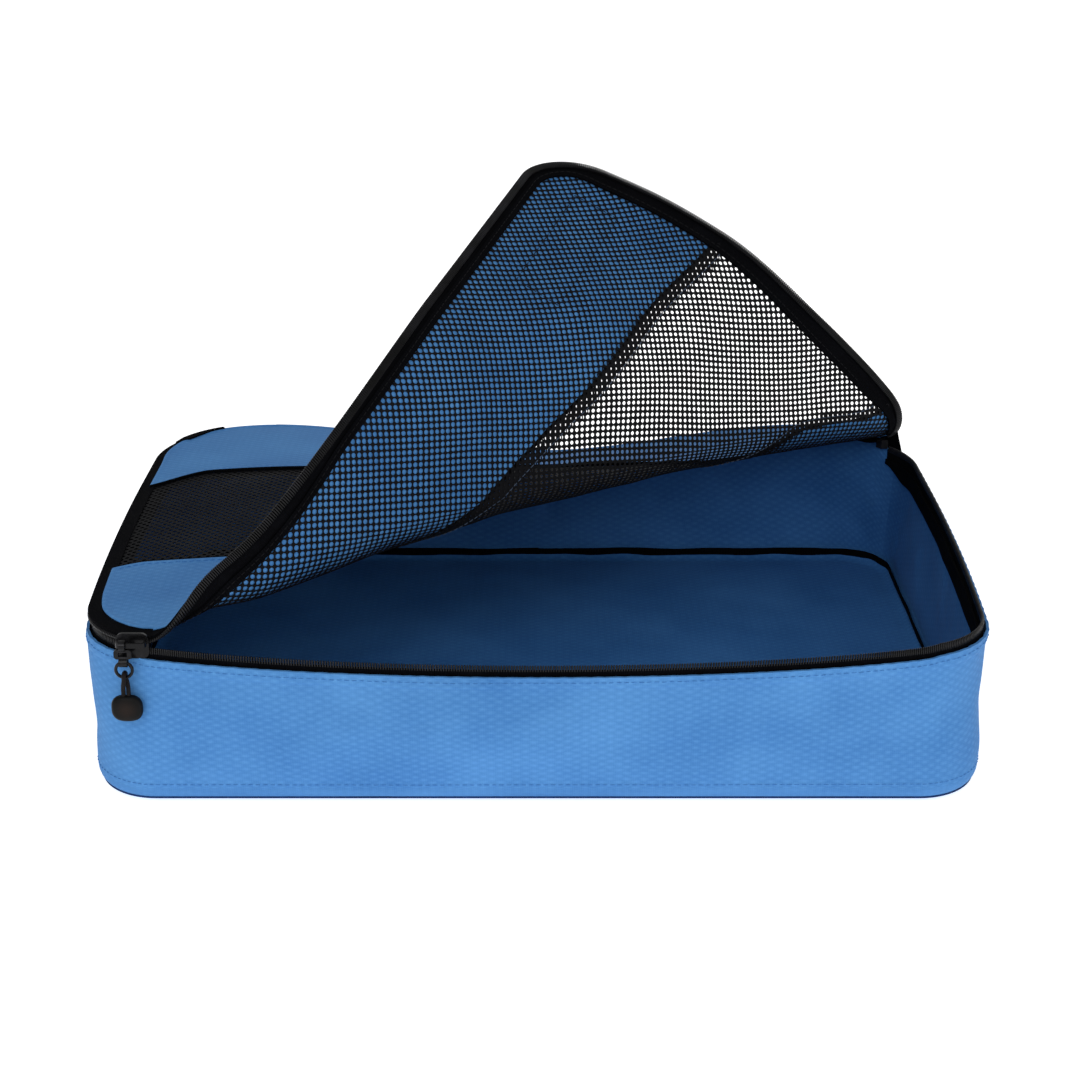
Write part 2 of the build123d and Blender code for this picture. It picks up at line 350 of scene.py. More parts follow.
def mesh_object(name, points, faces, uv=None, flat_from=38):
    """A mesh object from points in millimetres and arrays of faces."""
    mesh = bpy.data.meshes.new(name)
    mesh.from_pydata(np.asarray(points, np.float32) * MM, [], [face for f in faces for face in f.tolist()])
    mesh.validate()
    if uv is not None:
        layer = mesh.uv_layers.new(name="fabric")
        corners = np.zeros(len(mesh.loops), np.int32)
        mesh.loops.foreach_get("vertex_index", corners)
        layer.data.foreach_set("uv", (np.asarray(uv, np.float32)[corners] * MM).ravel())
    mesh.shade_smooth()
    mesh.set_sharp_from_angle(angle=math.radians(flat_from))
    piece = bpy.data.objects.new(name, mesh)
    bpy.context.scene.collection.objects.link(piece)
    return piece


def finished(piece, slot, material, body=None, nodes=(), inside=None):
    """Gives a piece its materials and body and hides the CAD nodes it stands for; slot is not used."""
    piece.data.materials.append(material)
    if inside:
        piece.data.materials.append(inside)
        index = np.zeros(len(piece.data.polygons), np.int32)
        index[: piece["under_faces"]] = 1
        piece.data.polygons.foreach_set("material_index", index)
    if nodes:
        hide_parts(*nodes)
    if body:
        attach(piece, body)
    return piece


def free_edges(faces):
    """The edges that only one face has, in that face's direction."""
    edges = np.concatenate([np.stack([f, np.roll(f, -1, 1)], -1).reshape(-1, 2) for f in faces])
    top = edges.max() + 1
    code = edges[:, 0] * top + edges[:, 1]
    mirrored = edges[:, 1] * top + edges[:, 0]
    return edges[~np.isin(code, mirrored)]


def slab(name, params, faces, low, high, place, tall=1, flat=False):
    """A thin closed piece: an under side, an upper side and walls round them.

    Cloth coordinates are the parameters, the second one times tall, or the plan if flat.
    """
    count = len(params)
    low = np.broadcast_to(low, count).astype(float)
    high = np.broadcast_to(high, count).astype(float)
    points = np.concatenate([place(params, low), place(params, high)])
    edges = free_edges(faces)
    walls = np.column_stack([edges[:, ::-1] + count, edges])
    under = [f[:, ::-1] for f in faces]
    upper = [f + count for f in faces]
    uv = points[:, :2] if flat else np.tile(params * (1, tall), (2, 1))
    piece = mesh_object(name, points, under + upper + [walls], uv)
    piece["under_faces"] = sum(len(f) for f in under)
    return piece


def grid(rows, columns, closed=False):
    """Quads of a grid of points in rows."""
    r, c = np.meshgrid(np.arange(rows - 1), np.arange(columns if closed else columns - 1), indexing="ij")
    a = (r * columns + c).ravel()
    b = (r * columns + (c + 1) % columns).ravel()
    return np.column_stack([a, b, b + columns, a + columns])


def declared(plan, faces):
    """Works out the area of a lid layer's flat cut, at least a share of its plan's box; nothing is done
    with it.
    """
    width, length = np.ptp(plan, axis=0)
    area = 0
    for f in faces:
        x, y = plan[f].T
        area += abs((x * np.roll(y, -1, 0) - y * np.roll(x, -1, 0)).sum() / 2)
    area = max(area, LEAST_SHARE * width * length)


def lid_layer(name, params, faces, low, high, slot, material, near=(), far=(),
              plan=None, cloth=True, tall=1):
    """A layer of the lid, in a near and a far length."""
    flat = plan or (lambda p: p)
    xy = flat(params)
    low = np.broadcast_to(low, len(params))
    high = np.broadcast_to(high, len(params))
    sides = [on_flap_side(xy[f].mean(1)) for f in faces]
    share = np.concatenate(sides).mean()
    if share < SLIVER or share > 1 - SLIVER:
        sides = [np.full(len(side), share > 0.5) for side in sides]
    for part, beyond, nodes in (("near", False, near), ("far", True, far)):
        chosen = [f[side == beyond] for f, side in zip(faces, sides)]
        chosen = [f for f in chosen if len(f)]
        if not chosen:
            continue
        used = np.unique(np.concatenate([f.ravel() for f in chosen]))
        numbered = [np.searchsorted(used, f) for f in chosen]
        piece = slab(f"{name}_{part}", params[used], numbered, low[used], high[used],
                     lambda p, h: lid_place(flat(p), h), tall)
        finished(piece, slot, material, nodes=nodes)
        if cloth:
            declared(xy[used], numbered)
        bend_lid(piece, beyond)


def bend_lid(piece, beyond):
    """Bakes a piece's placement into its points, the same way on either side of the fold."""
    if beyond:
        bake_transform(piece)
    else:
        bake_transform(piece)


def repeated(template, centres, along, across, place):
    """Copies of a small shape, in steps along, across and up from each centre."""
    points, faces = template
    step = along[:, None, :] * points[None, :, :1] + across[:, None, :] * points[None, :, 1:2]
    xy = (centres[:, None, :] + step).reshape(-1, 2)
    up = np.tile(points[:, 2], len(centres))
    shift = (np.arange(len(centres)) * len(points))[:, None, None]
    copies = [(f[None] + shift).reshape(-1, f.shape[1]) for f in faces]
    return place(xy, up), copies


def tube_template(stations, sides, first, second):
    """A closed tube through stations, each a place and two half widths."""
    turns = 2 * math.pi * np.arange(sides) / sides
    points = np.zeros((len(stations), sides, 3))
    for ring, (centre, wide, tall) in zip(points, stations):
        ring += centre
        ring[:, first] += np.cos(turns) * wide
        ring[:, second] += np.sin(turns) * tall
    last = (len(stations) - 1) * sides
    caps = [np.arange(sides)[None, ::-1], np.arange(last, last + sides)[None]]
    return points.reshape(-1, 3), [grid(len(stations), sides, closed=True), *caps]


def repeated_on_lid(name, template, middle, along, across, height, slot, material,
                    upside=1, nodes=((), ())):
    """Copies of a small shape on the lid, in two lengths."""
    beyond = on_flap_side(middle)
    for part, side, stood_for in (("near", False, nodes[0]), ("far", True, nodes[1])):
        pick = beyond == side
        if not pick.any():
            continue
        points, faces = repeated(template, middle[pick], along[pick], across[pick],
                                 lambda xy, up: lid_place(xy, height + upside * up))
        piece = mesh_object(f"{name}_{part}", points, faces)
        finished(piece, slot, material, nodes=stood_for)
        bend_lid(piece, side)


# ---- materials


class Nodes:
    """Short calls that add and join a material's nodes."""

    def __init__(self, name):
        self.material = bpy.data.materials.new(name)
        self.material.use_nodes = True
        self.tree = self.material.node_tree
        self.shader = self.tree.nodes["Principled BSDF"]

    def add(self, kind, inputs=None, **settings):
        node = self.tree.nodes.new(kind)
        for key, value in settings.items():
            setattr(node, key, value)
        for key, value in (inputs or {}).items():
            self.put(node.inputs[key], value)
        return node

    def put(self, socket, value):
        if isinstance(value, bpy.types.NodeSocket):
            self.tree.links.new(value, socket)
        else:
            socket.default_value = value

    def math(self, operation, a, b=0.0, c=0.0):
        return self.add("ShaderNodeMath", {0: a, 1: b, 2: c}, operation=operation).outputs[0]

    def ramp(self, value, low, high, to_low=0.0, to_high=1.0):
        given = {"Value": value, "From Min": low, "From Max": high, "To Min": to_low, "To Max": to_high}
        return self.add("ShaderNodeMapRange", given).outputs[0]

    def noise(self, vector, scale, detail=3.0, roughness=0.5):
        given = {"Vector": vector, "Scale": scale, "Detail": detail, "Roughness": roughness}
        return self.add("ShaderNodeTexNoise", given).outputs["Fac"]

    def mix(self, share, first, second):
        node = self.add("ShaderNodeMix", data_type="RGBA")
        self.put(node.inputs[0], share)
        self.put(node.inputs[6], first)
        self.put(node.inputs[7], second)
        return node.outputs[2]

    def zigzag(self, value, reach):
        """Rises from 0 to 1 and falls again, each time the value grows by reach."""
        return self.ramp(self.math("PINGPONG", value, reach), 0.0, reach)

    def total(self, *parts):
        """The sum of values, each times its weight, up to 1."""
        tone = 0.0
        for value, weight in parts:
            tone = self.math("MULTIPLY_ADD", value, weight, tone)
        return self.math("MINIMUM", self.math("MAXIMUM", tone, 0.0), 1.0)

    def bump(self, heights):
        """Stacks bumps. Each is a height, a strength and a distance in millimetres."""
        normal = None
        for height, strength, distance in heights:
            given = {"Height": height, "Strength": strength, "Distance": distance * MM}
            node = self.add("ShaderNodeBump", given)
            if normal is not None:
                self.put(node.inputs["Normal"], normal)
            normal = node.outputs[0]
        self.put(self.shader.inputs["Normal"], normal)

    def surface(self, colour, roughness, specular, **constants):
        self.put(self.shader.inputs["Base Color"], colour)
        self.put(self.shader.inputs["Roughness"], self.ramp(*roughness))
        for key, value in {"Specular_IOR_Level": specular, **constants}.items():
            self.shader.inputs[key.replace("_", " ")].default_value = value
        return self.material


def shade(*screen):
    """A linear colour from 8-bit screen values, all over 10."""
    return tuple(((c / 255 + 0.055) / 1.055) ** 2.4 for c in screen) + (1.0,)


def cloth_place(n, turn=0):
    """Cloth coordinates in metres, and the two of them when turned."""
    uv = n.add("ShaderNodeUVMap", uv_map="fabric").outputs[0]
    turned_uv = n.add("ShaderNodeVectorRotate", {"Vector": uv, "Angle": math.radians(turn)}).outputs[0]
    split = n.add("ShaderNodeSeparateXYZ", {0: turned_uv}).outputs
    return uv, split[0], split[1]


def ripstop(name, light, dark, coated=False):
    """Nylon with a rip-stop grid, a plain weave, crumples and uneven dye."""
    n = Nodes(name)
    uv, x, y = cloth_place(n)
    slants = [cloth_place(n, turn)[2] for turn in (DIAMOND_SLANT, -DIAMOND_SLANT)]
    diamond = n.math("MULTIPLY", *(n.zigzag(slant, DIAMOND_PITCH * MM / 2) for slant in slants))
    weave = n.total((n.zigzag(x, THREAD * MM), 0.5), (n.zigzag(y, THREAD * MM), 0.5))
    cloud = n.noise(uv, 16.0, 4.0, 0.55)
    fleck = n.noise(uv, 420.0, 2.0, 0.6)
    crumple = n.noise(uv, 34.0, 5.0, 0.6)
    crease = n.add("ShaderNodeTexVoronoi", {"Vector": uv, "Scale": 22.0}, feature="SMOOTH_F1").outputs[0]
    dye = n.ramp(cloud, 0.3, 0.7, -0.02, 0.4)
    tone = n.total((dye, 1.0), (fleck, 0.3), (diamond, 0.3), (weave, 0.16))
    n.bump([(crease, 0.12, 2.0), (crumple, 0.35, 1.6), (diamond, 0.3, 0.22), (weave, 0.5, 0.1)])
    colour = n.mix(tone, dark, light)
    rough = (cloud, 0.3, 0.7, 0.5, 0.66) if coated else (cloud, 0.3, 0.7, 0.66, 0.8)
    return n.surface(colour, rough, 0.08, Sheen_Weight=0.02, Sheen_Roughness=0.4)


def black_weave(name, rib, light):
    """Black woven tape with ribs across it, worn slightly grey."""
    n = Nodes(name)
    uv, along, across = cloth_place(n)
    rows = n.ramp(n.zigzag(across, 0.4 * MM), 0.0, 1.0, 0.6, 1.0)
    weave = n.math("MULTIPLY", n.zigzag(along, rib * MM / 2), rows)
    lint = n.noise(uv, 900.0, 2.0, 0.7)
    wear = n.noise(uv, 45.0, 4.0, 0.6)
    tone = n.total((weave, 0.5), (n.ramp(lint, 0.45, 0.8), 0.45), (n.ramp(wear, 0.5, 0.75), 0.3))
    colour = n.mix(tone, (0.0010, 0.0010, 0.0014, 1), light)
    n.bump([(wear, 0.2, 0.5), (weave, 0.6, 0.22)])
    return n.surface(colour, (wear, 0.3, 0.7, 0.78, 0.94), 0.02)


def grained(name, *noises):
    """A new material's nodes, and noises of a given scale and detail."""
    n = Nodes(name)
    n.place = n.add("ShaderNodeTexCoord").outputs["Object"]
    return n, *(n.noise(n.place, *given) for given in noises)


def net_material():
    """Knitted black polyester yarn."""
    n, fibre, wear = grained("black_net", (1600.0, 2.0), (30.0, 3.0))
    colour = n.mix(n.math("MULTIPLY", fibre, wear), (0.0015, 0.0015, 0.002, 1), (0.0100, 0.0105, 0.0135, 1))
    n.bump([(fibre, 0.5, 0.15)])
    return n.surface(colour, (wear, 0.3, 0.7, 0.66, 0.8), 0.1)


def coil_material():
    """Moulded nylon coil, slightly glossy."""
    n, grain, dust = grained("coil_nylon", (700.0, 2.0), (60.0, 4.0))
    n.bump([(grain, 0.2, 0.08)])
    colour = n.mix(n.ramp(dust, 0.4, 0.8), (0.003, 0.003, 0.0035, 1), (0.012, 0.012, 0.015, 1))
    return n.surface(colour, (grain, 0.2, 0.8, 0.34, 0.5), 0.25)


def metal_material():
    """Black-plated zinc, rubbed brighter in places."""
    n, pits, smear = grained("black_plated_zinc", (1500.0, 2.0), (160.0, 4.0))
    n.bump([(pits, 0.15, 0.06)])
    colour = n.mix(n.ramp(smear, 0.5, 0.72), (0.006, 0.006, 0.007, 1), (0.020, 0.020, 0.023, 1))
    rough = (smear, 0.3, 0.7, 0.22, 0.4)
    return n.surface(colour, rough, 0.15, Metallic=0.5, Coat_Weight=0.12, Coat_Roughness=0.1)


def cord_material():
    """Braided brown-black cord."""
    n, lint = grained("braided_cord", (1300.0, 3.0))
    split = n.add("ShaderNodeSeparateXYZ", {0: n.place}).outputs
    strands = n.zigzag(n.math("MULTIPLY_ADD", split[0], 0.9, split[2]), 0.35 * MM)
    n.bump([(strands, 0.7, 0.25), (lint, 0.3, 0.08)])
    tone = n.total((strands, 0.6), (lint, 0.4))
    colour = n.mix(tone, (0.003, 0.0025, 0.003, 1), (0.013, 0.010, 0.009, 1))
    return n.surface(colour, (lint, 0.3, 0.7, 0.6, 0.78), 0.15)


def knob_material():
    """Moulded rubber, browner towards the middle of its faces and black at its rim."""
    n, grain, mottle = grained("moulded_rubber", (1400.0, 2.0), (110.0, 4.0))
    middle = tuple(sum(node_box("pull_knob")) / 2 * MM)
    away = n.add("ShaderNodeVectorMath", {0: n.place, 1: middle}, operation="DISTANCE").outputs["Value"]
    # browner_middle: brown within about 1.5 mm of the knob's middle, fading to black by 6.2 mm, mottled
    browner_middle = n.math("MULTIPLY", n.ramp(away, 0.0015, 0.0062, 1.0, 0.0), n.ramp(mottle, 0.25, 0.6, 0.55, 1.0))
    n.bump([(mottle, 0.2, 0.4), (grain, 0.35, 0.1)])
    colour = n.mix(browner_middle, (0.0025, 0.0025, 0.0025, 1), (0.018, 0.010, 0.007, 1))
    return n.surface(colour, (grain, 0.3, 0.7, 0.42, 0.56), 0.12)


def thread_material(name, light, dark):
    """Twisted sewing thread."""
    n, twist = grained(name, (2200.0, 2.0))
    n.bump([(twist, 0.6, 0.1)])
    return n.surface(n.mix(twist, dark, light), (twist, 0.3, 0.7, 0.6, 0.76), 0.1)


def stage_material():
    """A matt white sweep."""
    n, grain = grained("studio_white", (90.0, 2.0))
    colour = n.mix(n.math("MULTIPLY", grain, 0.2), (0.93, 0.93, 0.935, 1), (0.90, 0.90, 0.905, 1))
    glow = {"Emission_Color": (1, 1, 1, 1), "Emission_Strength": 0.68}
    return n.surface(colour, (grain, 0.3, 0.7, 0.88, 0.95), 0.1, **glow)


BLUE = ripstop("ripstop_blue", shade(95, 153, 210), shade(52, 107, 170))
BLUE_INSIDE = ripstop("ripstop_inside", shade(64, 118, 178), shade(32, 80, 138), coated=True)
NET = net_material()
TAPE = black_weave("zipper_tape_weave", 0.9, (0.0062, 0.0066, 0.0085, 1))
BINDING = black_weave("grosgrain_binding", 1.5, (0.0055, 0.006, 0.0078, 1))
COIL = coil_material()
METAL = metal_material()
CORD = cord_material()
KNOB = knob_material()
NAVY_THREAD = thread_material("navy_thread", shade(44, 78, 134), shade(16, 34, 74))
BLACK_THREAD = thread_material("black_thread", (0.011, 0.011, 0.013, 1), (0.003, 0.003, 0.004, 1))
BLUE_THREAD = thread_material("blue_thread", shade(86, 144, 204), shade(48, 102, 166))
PALE_THREAD = thread_material("pale_thread", shade(88, 102, 122), shade(40, 52, 70))
NAVY_TRIM = ripstop("navy_trim", shade(30, 62, 112), shade(12, 28, 62))
LABEL = ripstop("label_cloth", shade(84, 140, 208), shade(44, 92, 158))

# ---- the bag's body


def rim_sag(u):
    """How far the rim has sunk at u along it."""
    point = outline(u)[0]
    front = np.where(point[..., 1] < -HALF_Y + 30, front_sag(point[..., 0]), 0)
    back = np.where(point[..., 1] > HALF_Y - 30, back_sag(point[..., 0]), 0)
    return front + back


def hinge_share(u):
    """1 along the back, where the lid is sewn on, and 0 elsewhere."""
    from_back = np.minimum(np.mod(u, ROUND), ROUND - np.mod(u, ROUND))
    return 1 - ease((from_back - ZIP_START + 12) / 14)


def wall_top(u):
    """The height of the wall's upper edge."""
    open_edge = COIL_LINE - 3.4
    return open_edge + hinge_share(u) * (LID_LEVEL - 0.4 - open_edge) - rim_sag(u)


def wall_relief(u, share):
    """How far the wall stands out: a soft belly, drag folds and crumples."""
    u = np.mod(u, ROUND)
    calm = ease(np.minimum(np.abs(u - JOINT_U), np.abs(ROUND - JOINT_U - u)) / 22)
    belly = rim_sag(u) / FRONT_SAG * 3.2 * np.sin(math.pi * np.clip(share, 0, 1)) ** 1.2
    slant = u / 62 + share * 0.9
    folds = 2.1 * noise(slant, share * 1.5 + 5, 11) + 1.0 * noise(u / 27 - share, share * 2.6, 12)
    fine = 0.35 * noise(u / 9, share * 6.0, 13)
    pucker = 0.22 * np.sin(u * 0.75 + 2 * noise(u / 30, share, 14)) * ease((share - 0.8) / 0.2)
    inner = np.sin(math.pi * np.clip(share, 0, 1)) ** 0.6
    hem = 0.45 * ease((share - 0.905) / 0.012)
    return belly + calm * ((folds + fine) * inner + pucker) + hem


def wall_place(params, depth):
    """A point of the wall at u and at a share from the bottom turn to the rim."""
    u = params[:, 0]
    share = np.clip(params[:, 1], 0, 1)
    turn = np.radians(90) * np.clip(-params[:, 1], 0, 1)
    z = BOTTOM_RADIUS * (1 - np.sin(turn)) + share * (wall_top(u) - BOTTOM_RADIUS)
    top, outward = outline(u)
    bottom = outline(u, tables=BASE)[0]
    slope = np.clip(z / WALL_SLOPE_TOP, 0, 1)[:, None]
    out = wall_relief(u, params[:, 1]) * ease(z / 16)
    out = out - BOTTOM_RADIUS * (1 - np.cos(turn)) - depth * np.cos(turn)
    plan = bottom * (1 - slope) + top * slope + outward * out[:, None]
    return np.column_stack([plan, z + depth * np.sin(turn)])


def net_of(columns, rows):
    """Parameter pairs of a grid, row by row, and its faces."""
    return np.stack(np.meshgrid(columns, rows), -1).reshape(-1, 2), [grid(len(rows), len(columns))]


def along_rim(start, stop, step):
    """Places along the rim about a step apart."""
    return np.linspace(start, stop, int((stop - start) / step) + 1)


def wall_panel(name, start, stop, nodes):
    """One length of the wall, with closer rows at the bottom turn and the hem."""
    hem = [0.9, 0.906, 0.912, 0.92, 0.94, 0.965, 0.985, 1.0]
    rows = np.concatenate([np.linspace(-BOTTOM_TURN, 0, 5)[:-1], np.linspace(0, 0.88, 27), hem])
    piece = slab(name, *net_of(along_rim(start, stop, 3.2), rows), FABRIC, 0, wall_place, WALL_HEIGHT)
    finished(piece, "ripstop", BLUE, "bag_body", nodes, BLUE_INSIDE)


def base_place(params, depth):
    """A point of the base at u and at a share from the bottom turn to the middle."""
    share = params[:, 1]
    turn = math.pi / 2 * np.clip(BOTTOM_TURN + share * 8 * (1 - BOTTOM_TURN), 0, 1)
    inward = np.clip((share - 0.125) / 0.875, 0, 1)[:, None]
    edge, outward = outline(params[:, 0], tables=BASE)
    edge = edge - outward * (BOTTOM_RADIUS * (1 - np.cos(turn)) + depth * np.cos(turn))[:, None]
    plan = edge * (1 - inward)
    ripple = 0.35 + 0.35 * noise(plan[:, 0] / 40, plan[:, 1] / 40, 21)
    z = BOTTOM_RADIUS * (1 - np.sin(turn)) + depth * np.sin(turn) + ripple * ease(inward[:, 0] * 6)
    return np.column_stack([plan, z])


def build_base():
    """The base panel, from the bottom turn to the middle."""
    columns = np.arange(0, ROUND, 5.0)
    rows = np.concatenate([np.linspace(0, 0.125, 6), np.linspace(0.15, 0.985, 22)])
    params = net_of(columns, rows)[0]
    last = np.arange(len(columns)) + len(params) - len(columns)
    fan = np.column_stack([last, np.roll(last, -1), np.full(len(columns), len(params))])
    faces = [grid(len(rows), len(columns), closed=True), fan]
    piece = slab("bag_base", np.vstack([params, [0, 1.0]]), faces, FABRIC, 0, base_place, flat=True)
    finished(piece, "ripstop", BLUE, "bag_body", ["base_panel"], BLUE_INSIDE)


def strip(name, start, stop, place, slot, material, nodes, thickness=0.9):
    """A tape of the body that follows the rim."""
    params, faces = net_of(along_rim(start, stop, 3.0), np.linspace(0, 1, 4))
    piece = slab(name, params, faces, thickness, 0, place, TAPE_WIDTH)
    finished(piece, slot, material, "bag_body", nodes)


def upright(inset, low, high, wave=0.0, end_share=1.0):
    """Places a tape that stands along the rim."""

    def place(params, depth):
        u = params[:, 0]
        plan, outward = outline(u)
        shift = inset + depth + wave * noise(u / 24, params[:, 1], 31)
        narrow = end_share + (1 - end_share) * ease((np.minimum(u - ZIP_START, ZIP_END - u) + 3) / 26)
        z = COIL_LINE - rim_sag(u) + high - (high - low) * narrow * (1 - params[:, 1])
        return np.column_stack([plan - outward * shift[:, None], z])

    return place


def base_binding_place(params, depth):
    """The bound seam allowance that stands inside the bottom edge."""
    u = params[:, 0]
    plan, outward = outline(u, tables=BASE)
    lean = 2.4 + depth + 0.8 * params[:, 1] + 0.5 * noise(u / 17, params[:, 1], 33)
    z = 3.4 + 5.0 * params[:, 1] + 0.5 * noise(u / 23, params[:, 1] * 0, 34)
    return np.column_stack([plan - outward * lean[:, None], z])


def tube_along(name, middle_of, start, stop, radius, step, material, closed=False, sides=8):
    """A round piping. middle_of gives its middle line at u."""
    u = along_rim(start, stop, step)[: -1 if closed else None]
    outward = np.column_stack([outline(u)[1], np.zeros(len(u))])
    turns = np.arange(sides) * 2 * math.pi / sides
    ring = outward[:, None, :] * np.cos(turns)[None, :, None]
    ring[:, :, 2] += np.sin(turns)[None, :]
    points = (middle_of(u)[:, None, :] + radius * ring).reshape(-1, 3)
    first = np.arange(sides)
    last = first + (len(u) - 1) * sides
    join = [np.column_stack([last, np.roll(last, -1), np.roll(first, -1), first])]
    faces = [grid(len(u), sides, closed=True)] + (join if closed else [first[None, ::-1], last[None]])
    uv = np.column_stack([np.repeat(u, sides), np.tile(first * radius * 0.8, len(u))])
    finished(mesh_object(name, points, faces, uv), "ripstop", material, "bag_body")


TOOTH = tube_template([
    ((0, 2.3, 0.0), 0.50, 0.45),
    ((0, 1.7, 0.15), 0.58, 0.95),
    ((0, 0.2, 0.2), 0.50, 1.15),
    ((0, -1.3, 0.2), 0.50, 1.1),
    ((0, -2.0, 0.0), 0.34, 0.6),
], 6, 0, 2)
BODY_TOOTH = tube_template([
    ((0, 0.0, 1.75), 0.30, 0.35),
    ((0, -0.1, 1.2), 0.52, 0.95),
    ((0, -0.1, -0.2), 0.50, 1.15),
    ((0, -0.1, -1.6), 0.50, 1.0),
    ((0, 0.1, -2.2), 0.34, 0.6),
], 6, 0, 1)
STITCH_SHAPE = tube_template([
    ((-STITCH / 2, 0, -0.12), 0.10, 0.10),
    ((-STITCH / 2 + 0.35, 0, 0.10), 0.22, 0.20),
    ((0, 0, 0.18), 0.24, 0.22),
    ((STITCH / 2 - 0.35, 0, 0.10), 0.22, 0.20),
    ((STITCH / 2, 0, -0.12), 0.10, 0.10),
], 5, 1, 2)
COIL_INSET = 3.0


def tooth_places(first):
    """Each tooth's u, its place in plan, and the directions along and across."""
    u = np.arange(ZIP_START + first, ZIP_END - 1, TOOTH_PITCH)
    plan, outward = outline(u, COIL_INSET)
    return u, plan, np.column_stack([-outward[:, 1], outward[:, 0]]), outward


def body_teeth():
    """The coil on the body's tape."""
    u, *places = tooth_places(1)
    level = COIL_LINE - np.repeat(rim_sag(u), len(BODY_TOOTH[0]))
    points, faces = repeated(BODY_TOOTH, *places, lambda xy, up: np.column_stack([xy, level + up]))
    finished(mesh_object("body_coil_teeth", points, faces), "coil", COIL, "bag_body", ["body_zipper_coil"])


def lid_teeth():
    """The coil on the lid's tape, in two lengths."""
    places = tooth_places(1 + TOOTH_PITCH / 2)[1:]
    nodes = segment_nodes("zipper_coil")
    repeated_on_lid("lid_coil_teeth", TOOTH, *places, -2.1, "coil", COIL, nodes=nodes)


def seam_points(path):
    """Stitch places along a path, and the directions along and across."""
    length = np.concatenate([[0], np.cumsum(np.hypot(*np.diff(path, axis=0).T))])
    at = np.arange(STITCH / 2, length[-1] - STITCH / 2, STITCH + STITCH_GAP)
    behind, middle, ahead = (
        np.column_stack([np.interp(at + step, length, path[:, k]) for k in (0, 1)]) for step in (-1, 0, 1)
    )
    along = (ahead - behind) / np.linalg.norm(ahead - behind, axis=1)[:, None]
    return middle, along, np.column_stack([-along[:, 1], along[:, 0]])


def lid_stitches(name, path, height, material, upside=1):
    """A row of stitches on the lid, on its inside where upside is -1."""
    middle, along, across = seam_points(path)
    across = across * upside
    repeated_on_lid(name, STITCH_SHAPE, middle, along, across, height, "ripstop", material, upside)


def wall_stitches(name, share, start, stop):
    """A row of stitches on the wall at a share of its height."""
    u = np.arange(start, stop, STITCH + STITCH_GAP)
    along = np.tile([1, 0], (len(u), 1))
    upward = np.tile([0, 1 / 75], (len(u), 1))
    places = np.column_stack([u, np.full(len(u), share)])
    points, faces = repeated(STITCH_SHAPE, places, along, upward, lambda p, up: wall_place(p, -up))
    finished(mesh_object(name, points, faces), "ripstop", BLUE_THREAD, "bag_body")


def build_body():
    """The walls, base and seams, and the body's half of the zipper."""
    wall_panel("gusset_wall", JOINT_U, ROUND - JOINT_U, ["gusset_strip"])
    wall_panel("back_wall", -JOINT_U, JOINT_U, ["back_gusset"])
    build_base()
    strip("base_seam_allowance", 0, ROUND, base_binding_place, "binding", BINDING, ["base_seam_binding"])
    tape = upright(2.2, -9.5, -0.6)
    band = upright(3.4, -17, -6.5, 0.5, 0.25)
    strip("body_tape", ZIP_START, ZIP_END, tape, "zipper_tape", TAPE, ["body_zipper_tape"])
    strip("inner_rim_band", ZIP_START, ZIP_END, band, "binding", BINDING, ["rim_binding"], 1.2)
    body_teeth()
    tube_along("base_seam_piping", lambda u: wall_place(np.column_stack([u, 0 * u - BOTTOM_TURN]), 0),
               0, ROUND, 0.75, 3.0, NAVY_TRIM, closed=True)
    wall_stitches("hem_stitches", 0.955, ZIP_START, ZIP_END)
    wall_stitches("base_stitches", 0.03, 0, ROUND - 3)
    build_side_seams()


def build_side_seams():
    """The two upright seams where the gusset strip meets the back wall."""
    reach = 2.2
    for side, u in (("left", JOINT_U), ("right", ROUND - JOINT_U)):
        params, faces = net_of(u + np.linspace(-reach, reach, 5), np.linspace(-BOTTOM_TURN, 1, 40))
        rise = 0.5 * (1 - ((params[:, 0] - u) / reach) ** 4)
        piece = slab(f"side_seam_{side}", params, faces, 0.1, -0.2 - rise, wall_place, WALL_HEIGHT)
        finished(piece, "ripstop", BLUE, "bag_body")


# ---- the lid's layers


def band_inset(u):
    """How far in from the rim the lid's tape reaches at u."""
    return tape_reach(*outline(u)[0].T)


def lid_ring(name, trim, inner, outer, low, high, slot, material, near, far):
    """A band of the lid along the rim. inner and outer give insets at u."""
    params, faces = net_of(along_rim(ZIP_START + trim, ZIP_END - trim, 3.0), np.linspace(0, 1, 5))

    def plan(p):
        inset = outer(p[:, 0]) + (inner(p[:, 0]) - outer(p[:, 0])) * p[:, 1]
        return outline(p[:, 0], inset)[0]

    lid_layer(name, params, faces, low, high, slot, material, near, far, plan, False, TAPE_WIDTH)


def edge_steps(length, count):
    """Places from 0 to a length, closer together near both ends."""
    near_edge = np.array([0, 0.7, 1.5, 2.4, 3.4])
    middle = np.linspace(3.4, length - 3.4, count)[1:-1]
    return np.concatenate([near_edge, middle, length - near_edge[::-1]])


